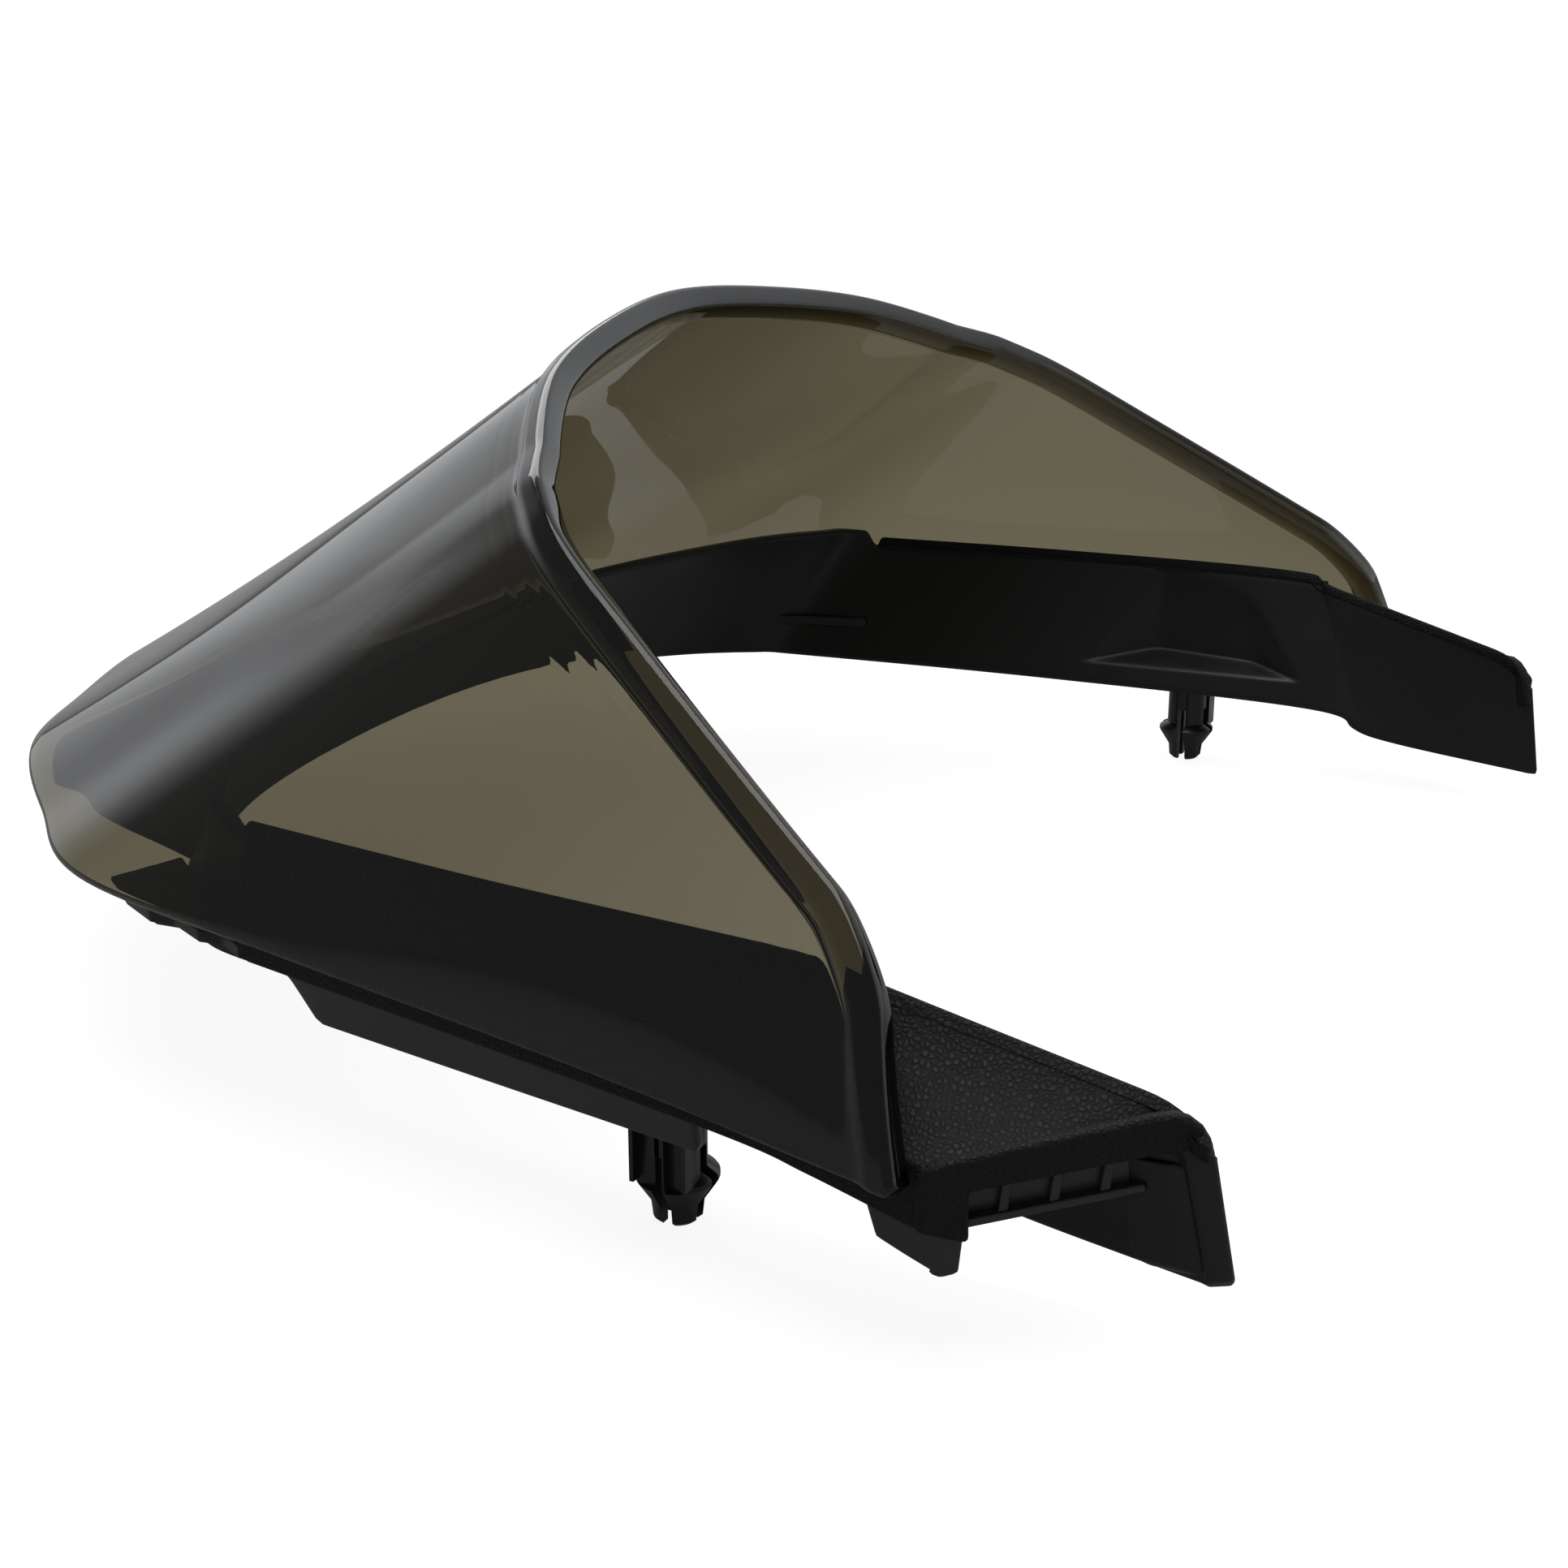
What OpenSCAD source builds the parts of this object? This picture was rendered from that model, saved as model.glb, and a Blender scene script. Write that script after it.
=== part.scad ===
// Smoked windshield screen on a grained two-arm base with push-in fixing pins.
// Frame: +X is the rider's left, +Y points rearward, +Z up. The nose points to -Y.

/* [Screen] */
// Overall width across the rear lower corners of the screen
screen_w = 310; // [300:1:320]
// Length of the screen's lower edge from nose to rear corner, measured along Y
screen_l = 240; // [230:1:250]
// Height of the arch's top above the tips of the fixing pins
arch_top = 122.2; // [118:0.2:125]
// Length of the arch outline along its slope, from its top to the side bend
arch_drop = 128; // [122:1:132]
// Angle at which the plane of the arch falls toward the rear
arch_tilt = 32.2; // [30:0.2:34]
// Wall thickness of the screen
screen_t = 3; // [2.5:0.1:3.5]
// How far the rolled rear lip stands out of the surface
lip_out = 1.2; // [1:0.1:2]

/* [Base] */
// Height of the base's upper rim above the pin tips
rim_z = 50; // [48:0.5:51]
// Wall thickness of the smooth frame
frame_t = 2.6; // [2.2:0.1:3]
// Wall thickness of the grained covers, skirts and feet
cover_t = 2.2; // [2:0.1:2.6]
// Clear gap between neighbouring mouldings
gap = 0.3; // [0.2:0.05:0.5]

/* [Fixing pins] */
// Distance between the axes of the two fixing pins
pin_span = 262; // [260:0.5:264]
// Position of the pin axes along Y
pin_y = 55; // [53:0.5:57]
// Height of the face that the pins' collars seat on
seat_z = 20; // [19.5:0.5:21]
// Radius of the pin's shaft
pin_r = 4.6; // [4.4:0.1:4.8]
// Radius of the pin's snap head
head_r = 6.5; // [6.2:0.1:6.8]
// Width of the slots that split the pin into legs
slot_w = 1.8; // [1.4:0.1:2.2]

/* [Screws] */
// Radius of the screw shank
screw_r = 1.95; // [1.9:0.05:2]
// Radius of the screw head
screw_head_r = 4; // [3.6:0.1:4.2]
// Distance between the two screen screws
screw_span = 270; // [269:0.5:271]
// Position of the screen screws along Y
screw_y = 76; // [75:0.5:77]

/* [Hidden] */
half_w = screen_w / 2;
nose_y = -140;              // front of the screen's lower edge
rear_y = nose_y + screen_l;
arch_y = -15.4;             // place of the arch's top along Y
// The lower edge lies in a plane that rises gently toward the nose.
edge_rear_z = 26.8;
edge_rise = 0.07;
// Arch outline in its tilted plane: fractions of the half width and of the drop.
ARCH = [[0, 0], [0.206, 0.031], [0.413, 0.102], [0.594, 0.227], [0.665, 0.297],
        [0.720, 0.383], [0.779, 0.555], [0.849, 0.773], [0.914, 0.99]];
// Lower edge outline: fractions of the half width and of the length from the nose.
EDGE = [[0, 0], [0.200, 0.023], [0.394, 0.071], [0.568, 0.125], [0.723, 0.227],
        [0.855, 0.346], [0.903, 0.556], [0.948, 0.796], [1, 1]];
// Outward crown of the panels along each outline point, in millimetres.
CROWN = [-1.8, -1.8, -1.2, 0, 0.6, 1.6, 3.4, 3.2, 1.5];
// Inner upper rim and inner lower rim of the frame, from the centre to an arm's end.
RIM = [[0, -69, rim_z], [46, -65.5, rim_z], [92, -51.5, rim_z], [116, -38, rim_z],
       [125, -25, rim_z], [131, 24, rim_z], [135, 78, rim_z - 0.5], [133.6, 90, rim_z - 3.7],
       [128.5, 135, rim_z - 16]];
FOOT = [[0, -88, 27], [50, -85, 25], [88, -70, 21.5], [106, -54, 20.5],
        [113, -38, seat_z], [119.5, 24, seat_z], [124.3, 88, seat_z - 1.1],
        [125, 103, seat_z - 6.5], [126.2, 140, 8.8]];
// Outer edge of the deck and lower edge of the grained strip, along one arm.
DECK = [[132, -25, 37.5], [138.6, 24, 34.5], [144.6, 70, 31.5], [147.4, 85, 29.8],
        [150, 102, 28]];
STRIP = [[132.6, -25, 28.5], [139.2, 24, 26.4], [145.4, 70, 24], [148.2, 85, 22.6],
         [150.4, 102, 19.4]];
// The parts of the rims that run along an arm.
RIM_ARM = [for (i = [4:8]) RIM[i]];
FOOT_ARM = [for (i = [4:8]) FOOT[i]];
// Grained end band of a cover, drawn on the arm's slanted end: it frames the channel.
END_BAND = [[0, 28], [0, 18.9], [5.3, 17.2], [7.1, 16.8], [6.9, 23.8], [34.3, 28],
            [36.3, 23.2], [40.6, 23.6], [40.2, 28.2], [39.4, 30.6], [37.6, 32.6], [35, 33]];
// Foot on the same plane: outer leg and the beam that reaches the frame's wall.
FOOT_END = [[1.5, 20], [1.5, 15], [6.4, 14], [6.4, 18.3], [30.6, 22.2],
            [29.6, 26], [1.5, 22.6]];
// Side view of the foot's outer leg, across Y and Z.
FOOT_SIDE = [[94.4, 20.2], [96, 15.4], [104.4, 12], [107, 12], [107.6, 15.6], [103, 18.6]];
// Plan of the stepped ledge in the base's front corner.
LEDGE = [[100, -63.5], [114, -68], [120, -60], [124.5, -51], [124, -46], [128, -37.5],
         [127.4, -33], [131, -26.5], [116.5, -26.5], [113, -42], [106.5, -55]];
LEDGE_PAD = [[114.5, -55], [120, -58], [123, -51], [122.6, -46], [125, -39], [120, -39]];

nu = 44;            // steps across half of the screen
nv = 20;            // steps along the screen
lip_w = 0.05;       // share of the length that the lip rolls over

function lerp(a, b, t) = a + (b - a) * t;
function unit(v) = v / norm(v);
function mirror_x(p) = [-p[0], each [for (k = [1:1:len(p) - 1]) p[k]]];

// Point i of an outline; beyond its start it is mirrored, beyond its end it runs straight on.
function knot(p, i, mirrored) =
    i < 0 ? (mirrored ? mirror_x(p[-i]) : 2 * p[0] - p[1])
    : i > len(p) - 1 ? 2 * p[len(p) - 1] - p[len(p) - 2]
    : p[i];

// Smooth curve through the points of an outline, for t from 0 to 1.
function curve(p, t, mirrored = false) =
    let (s = t * (len(p) - 1), i = min(floor(s), len(p) - 2), f = s - i)
    let (a = knot(p, i - 1, mirrored), b = p[i], c = p[i + 1], d = knot(p, i + 2, mirrored))
    b + 0.5 * f * (c - a + f * (2 * a - 5 * b + 4 * c - d + f * (3 * b - a - 3 * c + d)));

function arch_point(u) =
    let (a = curve(ARCH, u, true), d = a[1] * arch_drop)
    [a[0] * half_w, arch_y + d * cos(arch_tilt), arch_top - d * sin(arch_tilt)];

function edge_point(u) =
    let (e = curve(EDGE, u, true), y = nose_y + e[1] * screen_l)
    [e[0] * half_w, y, edge_rear_z + edge_rise * (rear_y - y)];

function ruled(u, v) = lerp(edge_point(u), arch_point(u), v);

function crown(u) =
    let (s = u * (len(CROWN) - 1), i = min(floor(s), len(CROWN) - 2))
    lerp(CROWN[i], CROWN[i + 1], s - i);

function ruled_normal(u, v) =
    let (e = 0.01, a = max(0, u - e), b = min(1, u + e))
    unit(cross(ruled(b, v) - ruled(a, v), ruled(u, 1) - ruled(u, 0)));

// Right half of the screen's crowned surface.
function half_skin(u, v) = ruled(u, v) + 4 * v * (1 - v) * crown(u) * ruled_normal(u, v);

function skin(u, v) = u < 0 ? mirror_x(half_skin(-u, v)) : half_skin(u, v);

// Unit normals of a grid of points, pointing out of the object.
function normals(g) =
    [for (i = [0:len(g) - 1])
        let (a = max(0, i - 1), b = min(len(g) - 1, i + 1))
        [for (j = [0:len(g[0]) - 1])
            let (c = max(0, j - 1), d = min(len(g[0]) - 1, j + 1))
            unit(cross(g[b][j] - g[a][j], g[i][d] - g[i][c]))]];

function shifted(g, n, dist) =
    [for (i = [0:len(g) - 1]) [for (j = [0:len(g[0]) - 1]) g[i][j] + n[i][j] * dist]];

// Closed solid between two equal grids of points, the first one outermost.
module shell(outer, inner) {
    m = len(outer);
    n = len(outer[0]);
    o = m * n;
    points = [for (g = [outer, inner]) for (row = g) for (p = row) p];
    top = [for (i = [0:m - 2]) for (j = [0:n - 2])
        let (a = i * n + j, b = a + n)
        each [[a, a + 1, b + 1], [a, b + 1, b]]];
    bottom = [for (f = top) [f[0] + o, f[2] + o, f[1] + o]];
    ends = [for (j = [0:n - 2]) let (a = j, b = (m - 1) * n + j)
        each [[a, a + o, a + 1 + o], [a, a + 1 + o, a + 1],
              [b, b + 1, b + 1 + o], [b, b + 1 + o, b + o]]];
    sides = [for (i = [0:m - 2]) let (a = i * n, b = a + n - 1)
        each [[a, a + n, a + n + o], [a, a + n + o, a + o],
              [b, b + o, b + n + o], [b, b + n + o, b + n]]];
    polyhedron(points, concat(top, bottom, ends, sides), convexity = 6);
}

// Solid on the outside or the inside of a grid, of the given thickness.
module plate(grid, thick) {
    n = normals(grid);
    shell(grid, shifted(grid, n, -thick));
}

// The same for a grid whose rows run the other way round.
module mirrored_plate(grid, thick) {
    mirror([1, 0, 0]) plate([for (row = grid) [for (p = row) mirror_x(p)]], thick);
}

module both_sides() {
    children();
    mirror([1, 0, 0]) children();
}

// ---- Screen ----

module screen() {
    rows = [for (i = [-nu:nu]) [for (j = [0:nv]) skin(i / nu, j / nv)]];
    n = normals(rows);
    lip = [for (i = [0:2 * nu]) [for (j = [0:nv])
        let (v = j / nv, u = abs(i - nu) / nu)
        rows[i][j] + n[i][j] * lip_out * max(0, 1 - (1 - v) / lip_w, 1 - (1 - u) / lip_w)]];
    color([0.22, 0.21, 0.17, 0.75]) {
        shell(lip, shifted(rows, n, -screen_t));
        both_sides() screw_tab();
    }
}

// Tab on the screen's inside that the screen's screw passes through.
tab_z = 28.2;
tab_t = 2.2;
module screw_tab() {
    translate([screw_span / 2, screw_y, tab_z]) difference() {
        union() {
            cylinder(r = screw_head_r, h = tab_t, $fn = 32);
            translate([0, -screw_head_r, 0]) cube([13, 2 * screw_head_r, tab_t]);
        }
        translate([0, 0, -1]) cylinder(r = screw_r + 0.25, h = tab_t + 2, $fn = 32);
    }
}

// ---- Frame: front crossbar and the inner walls of both arms, one moulding ----

rim_steps = 40;     // steps along each half of the frame
lip_drop = 7;       // height of the covers' inner lip above the arms' walls
wall_rows = 4;      // steps up the frame's wall

function half_wall(s, j, sunk) =
    let (low = curve(FOOT, s, true), rim = curve(RIM, s, true))
    lerp(low, lerp(rim, low, sunk / (rim[2] - low[2])), j / wall_rows);

// Inner face of the frame; the covers sit on top of the arms' walls.
function frame_face() =
    [for (i = [-rim_steps:rim_steps])
        let (s = abs(i) / rim_steps, sunk = (lip_drop + gap) * min(1, max(0, (s - 0.42) * 25)))
        [for (j = [0:wall_rows]) let (p = half_wall(s, j, sunk)) i < 0 ? mirror_x(p) : p]];

pocket_y = [22, 67];        // lower corners of the pocket in the arm's wall
pocket_z = [24, 41.4];      // floor and ceiling of the pocket
pocket_in = 6;              // depth of the pocket behind the wall
pocket_x = 123;

// Wedge that narrows toward the ceiling and away from the opening.
module pocket_block(grow) {
    hull() {
        translate([pocket_x - 3, pocket_y[0] - grow, pocket_z[0] - grow])
            cube([0.1, pocket_y[1] - pocket_y[0] + 2 * grow, 0.1]);
        translate([pocket_x + 6, pocket_y[0] + 14 - grow, pocket_z[1] - 1 + grow])
            cube([0.1, 22 + 2 * grow, 0.1]);
        translate([pocket_x + pocket_in + grow * 0.6, pocket_y[0] + 12 - grow, pocket_z[0] - grow])
            cube([0.1, 28 + 2 * grow, 0.1]);
        translate([pocket_x + pocket_in + 3.4 + grow * 0.6, pocket_y[0] + 15 - grow,
                   pocket_z[1] - 1 + grow])
            cube([0.1, 20 + 2 * grow, 0.1]);
    }
}

notch_x = 56;               // place of the locating notches in the crossbar's lower edge
module crossbar_notch() {
    translate([notch_x - 2.5, -93, 20]) cube([5, 12, 10.5]);
}

// Web under the deck that carries the boss for the screen's screw.
boss_h = 5;
module screw_web() {
    z = tab_z + tab_t;
    difference() {
        union() {
            translate([screw_span / 2, screw_y, z]) cylinder(r = 3.4, h = boss_h, $fn = 32);
            translate([128.5, screw_y - 2, z]) cube([screw_span / 2 - 128.5, 4, boss_h]);
        }
        translate([screw_span / 2, screw_y, z - 1]) cylinder(r = screw_r + 0.03, h = boss_h + 2, $fn = 32);
    }
}

// Seat with the socket that the fixing pin is pressed into.
socket_h = 2;
socket_r = 2.6;
module pin_seat() {
    difference() {
        translate([123.4, pin_y - 9, seat_z]) cube([15.4, 18, socket_h]);
        translate([pin_span / 2, pin_y, seat_z - 1]) cylinder(r = socket_r, h = socket_h + 2, $fn = 40);
    }
}

// Stepped ledge that fills the front corner between the wall and the screen's edge.
ledge_z = 27;
ledge_t = 2.4;
pad_h = 1;                  // how far the ledge's lower step stands down
module corner_ledge() {
    translate([0, 0, ledge_z]) linear_extrude(ledge_t) polygon(LEDGE);
    translate([0, 0, ledge_z - pad_h]) linear_extrude(pad_h + 0.1) polygon(LEDGE_PAD);
}

// Panel under the nose, from the front wall forward to just inside the screen's edge.
panel_end = [0.28, 0.45];   // where it ends along the wall and along the screen's edge
panel_low = 0.2;            // share of the wall's height where it starts
panel_in = [1.4, 5.5];      // how far it reaches into the wall and stays off the edge
panel_drop = 3.5;           // how far its underside lies below the screen's edge
panel_t = 2;
panel_steps = 12;

// Level unit vector to the right of the way from a to b.
function aside(a, b) = unit([b[1] - a[1], a[0] - b[0], 0]);

function panel_row(k) =
    let (s = k * panel_end[0], u = k * panel_end[1], e = 0.01)
    let (low = curve(FOOT, s, true), next = curve(FOOT, s + e, true), rim = curve(RIM, s, true))
    let (back = lerp(low, rim, panel_low) + panel_in[0] * aside(low, next))
    let (edge = edge_point(u))
    let (front = edge - panel_in[1] * aside(edge, edge_point(u + e)) - [0, 0, panel_drop])
    [for (t = [0:0.25:1]) lerp(back, front, t)];

module nose_panel() {
    plate([for (i = [-panel_steps:panel_steps])
        let (row = panel_row(abs(i) / panel_steps))
        [for (p = row) i < 0 ? mirror_x(p) : p]], panel_t);
}

module frame() {
    inner = frame_face();
    n = normals(inner);
    color([0.06, 0.06, 0.065]) difference() {
        union() {
            difference() {
                union() {
                    shell(shifted(inner, n, frame_t), inner);
                    nose_panel();
                    both_sides() {
                        pocket_block(1.8);
                        corner_ledge();
                    }
                }
                both_sides() pocket_block(0);
            }
            both_sides() {
                screw_web();
                pin_seat();
            }
        }
        both_sides() crossbar_notch();
    }
}

// ---- Grained arm covers: deck, side strip and slanted end ----

arm_steps = 24;

function deck_point(s, t) = lerp(curve(RIM_ARM, s), curve(DECK, s), t);

// The cover is cut back over the fixing pin and the screen's screw.
cut_y = [65, 89];
cut_share = 0.8;            // share of the deck's width that stays there

// Lower edge of the cover's inner lip, which continues the frame's wall.
function lip_point(s) = let (rim = curve(RIM_ARM, s), low = curve(FOOT_ARM, s))
    lerp(rim, low, lip_drop / (rim[2] - low[2]));

// Points across the cover: up the inner lip, along the deck outward, then down the side.
function cover_row(s) =
    let (y = curve(STRIP, s)[1], cut = y > cut_y[0] && y < cut_y[1], w = cut ? cut_share : 1,
         low = cut ? deck_point(s, w) + [0.3, 0, -1] : curve(STRIP, s))
    concat([lip_point(s)], [for (t = [0:0.25:1]) deck_point(s, t * w)],
        [lerp(deck_point(s, w), low, 0.5), low]);

end_dir = RIM[8] - DECK[4];
end_len = norm([end_dir[0], end_dir[1]]);
end_turn = atan2(end_dir[1], end_dir[0]);

// Drawn on the slanted end plane: X runs inward along the arm's end, Y is up.
module end_plane(depth, thick) {
    translate([DECK[4][0], DECK[4][1], 0]) rotate([0, 0, end_turn]) translate([0, depth, 0])
        rotate([90, 0, 0]) linear_extrude(thick) children();
}

module cover_arm() {
    color([0.05, 0.05, 0.055]) {
        mirrored_plate([for (i = [0:arm_steps]) cover_row(i / arm_steps)], cover_t);
        end_plane(0, cover_t) polygon(END_BAND);
    }
}

module cover_left() cover_arm();
module cover_right() mirror([1, 0, 0]) cover_arm();

// ---- Smooth outer skirts under the grained strip ----

skirt_steps = 16;
skirt_s = [0.05, 0.46];     // share of the arm's length that the skirt covers
skirt_low = [20.6, 19];     // height of the skirt's lower edge, front and rear
skirt_webs = [-6, 5, 16];   // webs that reach to the frame's wall
skirt_run = 0.07;           // share of the skirt that its slanted front end takes
function web_start(y) = 121.5 + 0.093 * y;
function web_end(y) = 136.2 + 0.143 * y;

// Points up the skirt, whose front end is cut at a slant.
function skirt_row(k) =
    let (p = curve(STRIP, lerp(skirt_s[0], skirt_s[1], k)) - [0.5, 0, gap],
         low = lerp(skirt_low[0], skirt_low[1], k),
         foot = lerp(p[2] - 1, low, min(1, k / skirt_run)))
    [[p[0] - 0.8, p[1], foot], [p[0] - 0.1, p[1], (foot + p[2]) / 2], p];

module skirt_half() {
    color([0.16, 0.16, 0.165]) {
        mirrored_plate([for (i = [0:skirt_steps]) skirt_row(i / skirt_steps)], cover_t);
        for (y = skirt_webs) translate([web_start(y), y, seat_z + 2])
            cube([web_end(y) - web_start(y), 2, 2.4]);
    }
}

module skirt_left() skirt_half();
module skirt_right() mirror([1, 0, 0]) skirt_half();

// ---- Smooth feet at the arms' ends: the outer leg and the ribbed beam ----

foot_x = 149;               // outer face of the foot's outer leg
beam_ribs = [11.5, 18, 24.5];   // places of the ribs along the beam
rib_w = 1.6;
rib_stand = 1;              // how far the ribs stand out of the beam
rib_h = 2.4;
function beam_z(k) = 21 + 0.165 * k;

module foot_half() {
    color([0.16, 0.16, 0.165]) {
        translate([foot_x, 0, 0]) rotate([90, 0, 90]) translate([0, 0, -cover_t])
            linear_extrude(cover_t) polygon(FOOT_SIDE);
        end_plane(cover_t + gap, cover_t) polygon(FOOT_END);
        for (k = beam_ribs) end_plane(gap, rib_stand) polygon([
            [k, beam_z(k) - rib_h], [k + rib_w, beam_z(k + rib_w) - rib_h],
            [k + rib_w, beam_z(k + rib_w)], [k, beam_z(k)]]);
    }
}

module foot_left() foot_half();
module foot_right() mirror([1, 0, 0]) foot_half();

// ---- Push-in fixing pins ----

head_z = 8;                 // height of the widest part of the snap head
module snap_pin_at() {
    color([0.09, 0.09, 0.095]) translate([pin_span / 2, pin_y, 0]) difference() {
        union() {
            rotate_extrude($fn = 64) polygon([[0, 0], [2.6, 0], [3.6, 2], [head_r, head_z - 1],
                [head_r, head_z], [pin_r, head_z + 1.6], [pin_r, seat_z - 1.2],
                [pin_r + 1.4, seat_z - 1.2], [pin_r + 1.4, seat_z], [socket_r - 0.05, seat_z],
                [socket_r - 0.05, seat_z + socket_h], [0, seat_z + socket_h]]);
            for (y = channel_y) translate([0, y, 0]) channel();
        }
        for (a = [0, 90]) rotate([0, 0, a]) translate([-10, -slot_w / 2, -1])
            cube([20, slot_w, seat_z - 6]);
    }
}

// Open channel rib on the outer side of the shaft.
channel_y = [-2.2, 2.6];
channel_w = 4.4;
module channel() {
    translate([2, -channel_w / 2, head_z + 2.5]) difference() {
        cube([4.8, channel_w, seat_z - head_z - 2.5]);
        translate([2.9, 1, -1]) cube([4, channel_w - 2, seat_z]);
    }
}

module snap_pin_left() snap_pin_at();
module snap_pin_right() mirror([1, 0, 0]) snap_pin_at();

// ---- Screws that hold the screen's tabs to the frame ----

module screen_screws() {
    color([0.3, 0.3, 0.31]) both_sides()
        translate([screw_span / 2, screw_y, tab_z]) {
            difference() {
                translate([0, 0, -2.4]) cylinder(r = screw_head_r, h = 2.4, $fn = 32);
                for (a = [0, 90]) rotate([0, 0, a]) translate([-2.2, -0.5, -3]) cube([4.4, 1, 2]);
            }
            cylinder(r = screw_r, h = tab_t + boss_h - 1, $fn = 32);
        }
}

screen();
frame();
cover_left();
cover_right();
skirt_left();
skirt_right();
foot_left();
foot_right();
snap_pin_left();
snap_pin_right();
screen_screws();
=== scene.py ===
"""Smoked windshield screen on its grained two-arm base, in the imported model's frame."""
import math

import bmesh
import bpy
import numpy as np
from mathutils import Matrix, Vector


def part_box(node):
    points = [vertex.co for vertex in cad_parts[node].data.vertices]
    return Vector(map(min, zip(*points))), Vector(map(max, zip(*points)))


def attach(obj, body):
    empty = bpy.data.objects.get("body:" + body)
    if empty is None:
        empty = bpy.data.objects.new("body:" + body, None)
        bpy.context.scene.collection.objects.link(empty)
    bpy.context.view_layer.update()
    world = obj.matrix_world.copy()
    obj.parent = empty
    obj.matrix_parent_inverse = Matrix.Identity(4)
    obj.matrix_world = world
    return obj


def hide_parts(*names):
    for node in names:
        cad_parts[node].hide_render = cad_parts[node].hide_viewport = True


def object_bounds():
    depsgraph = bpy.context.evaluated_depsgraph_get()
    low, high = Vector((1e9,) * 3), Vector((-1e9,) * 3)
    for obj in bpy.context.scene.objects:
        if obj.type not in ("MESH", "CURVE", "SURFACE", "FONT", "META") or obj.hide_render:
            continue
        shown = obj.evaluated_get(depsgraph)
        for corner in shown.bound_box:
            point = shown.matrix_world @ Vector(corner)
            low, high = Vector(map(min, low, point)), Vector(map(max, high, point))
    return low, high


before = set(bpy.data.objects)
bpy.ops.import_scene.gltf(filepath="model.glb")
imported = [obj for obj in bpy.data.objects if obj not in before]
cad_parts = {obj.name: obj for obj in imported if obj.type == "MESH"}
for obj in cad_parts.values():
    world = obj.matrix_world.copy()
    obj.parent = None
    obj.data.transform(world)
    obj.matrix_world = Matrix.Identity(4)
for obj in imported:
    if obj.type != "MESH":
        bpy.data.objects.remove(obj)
cad_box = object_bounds()

MM = 0.001
screen_low, screen_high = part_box("screen")

# ---------------------------------------------------------------- outlines, in millimetres
# The screen: arch outline and lower edge as shares of the half width and length.
ARCH = [[0, 0], [0.206, 0.031], [0.413, 0.102], [0.594, 0.227], [0.665, 0.297],
        [0.720, 0.383], [0.779, 0.555], [0.849, 0.773], [0.914, 0.99]]
EDGE = [[0, 0], [0.200, 0.023], [0.394, 0.071], [0.568, 0.125], [0.723, 0.227],
        [0.855, 0.346], [0.903, 0.556], [0.948, 0.796], [1, 1]]
CROWN = [[-1.8], [-1.8], [-1.2], [0], [0.6], [1.6], [3.4], [3.2], [1.5]]   # bulge of the skin
HALF_W = 155
NOSE_Y = -140
EDGE_LENGTH = 240
REAR_Y = NOSE_Y + EDGE_LENGTH
ARCH_Y, ARCH_TOP, ARCH_DROP = -15.4, 122.2, 128
ARCH_TILT = math.radians(32.2)
EDGE_REAR_Z, EDGE_RISE = 26.8, 0.07
SCREEN_T = 3.0
LIP_OUT, LIP_IN, LIP_WIDTH = 1.2, 1.3, 5.2      # rolled rim round the rear outline
LIP_FULL = 2.0                                  # width of the rim at its full height
LIP_IN_FULL, LIP_IN_RUN = 3.4, 1.6              # the same inside, and its run-out
GROOVES = (7.1, 10.6)                           # fine lines, by their distance from the rim
GROOVE_DEPTH, GROOVE_WIDTH = 0.035, 0.4
CREASE_AT, CREASE_DEPTH, CREASE_REACH = 0.40, 0.75, 0.10    # valley of the styling line
WEDGE_DEPTH, WEDGE_REACH = 0.6, 0.055           # flat wedge in front of it
BEND_U, BEND_V = 0.048, 0.32                    # shares that the upper rear bend takes up

# The base: inner upper rim, inner lower rim, outer edge of the deck, foot of the strip.
RIM = [[0, -69, 50], [46, -65.5, 50], [92, -51.5, 50], [116, -38, 50], [125, -25, 50],
       [131, 24, 50], [135, 78, 49.5], [133.6, 90, 46.3], [129.4, 135.4, 34.4]]
FOOT = [[0, -88, 27], [50, -85, 25], [88, -70, 21.5], [106, -54, 20.5], [113, -38, 20],
        [119.5, 24, 20], [124.3, 88, 18.9], [125, 103, 13.5], [126.9, 139.7, 9]]
DECK = [[132, -25, 37.5], [138.6, 24, 34.5], [144.6, 70, 31.5], [147.4, 85, 29.8],
        [150, 102, 28.4]]
STRIP = [[132.6, -25, 28.5], [139.2, 24, 26.4], [145.4, 70, 24], [148.2, 85, 22.6],
         [150.4, 102, 19.4]]
RIM_ARM = RIM[4:]
FOOT_ARM = FOOT[4:]
FRAME_T = 2.6
COVER_T = 2.2
LIP_DROP = 3.2              # height of the cover's inner lip
GAP = 0.25                  # seam between that lip and the frame's wall
ARM_START = 0.46            # share of the rim where the arms begin

# The arm's slanted end: from the deck's outer corner to the inner corner.
END_CORNER = np.array(DECK[4][:2])
END_INNER = np.array([128.5, 135.0])


def unit(v):
    return v / np.maximum(np.linalg.norm(v, axis=-1, keepdims=True), 1e-12)


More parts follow.
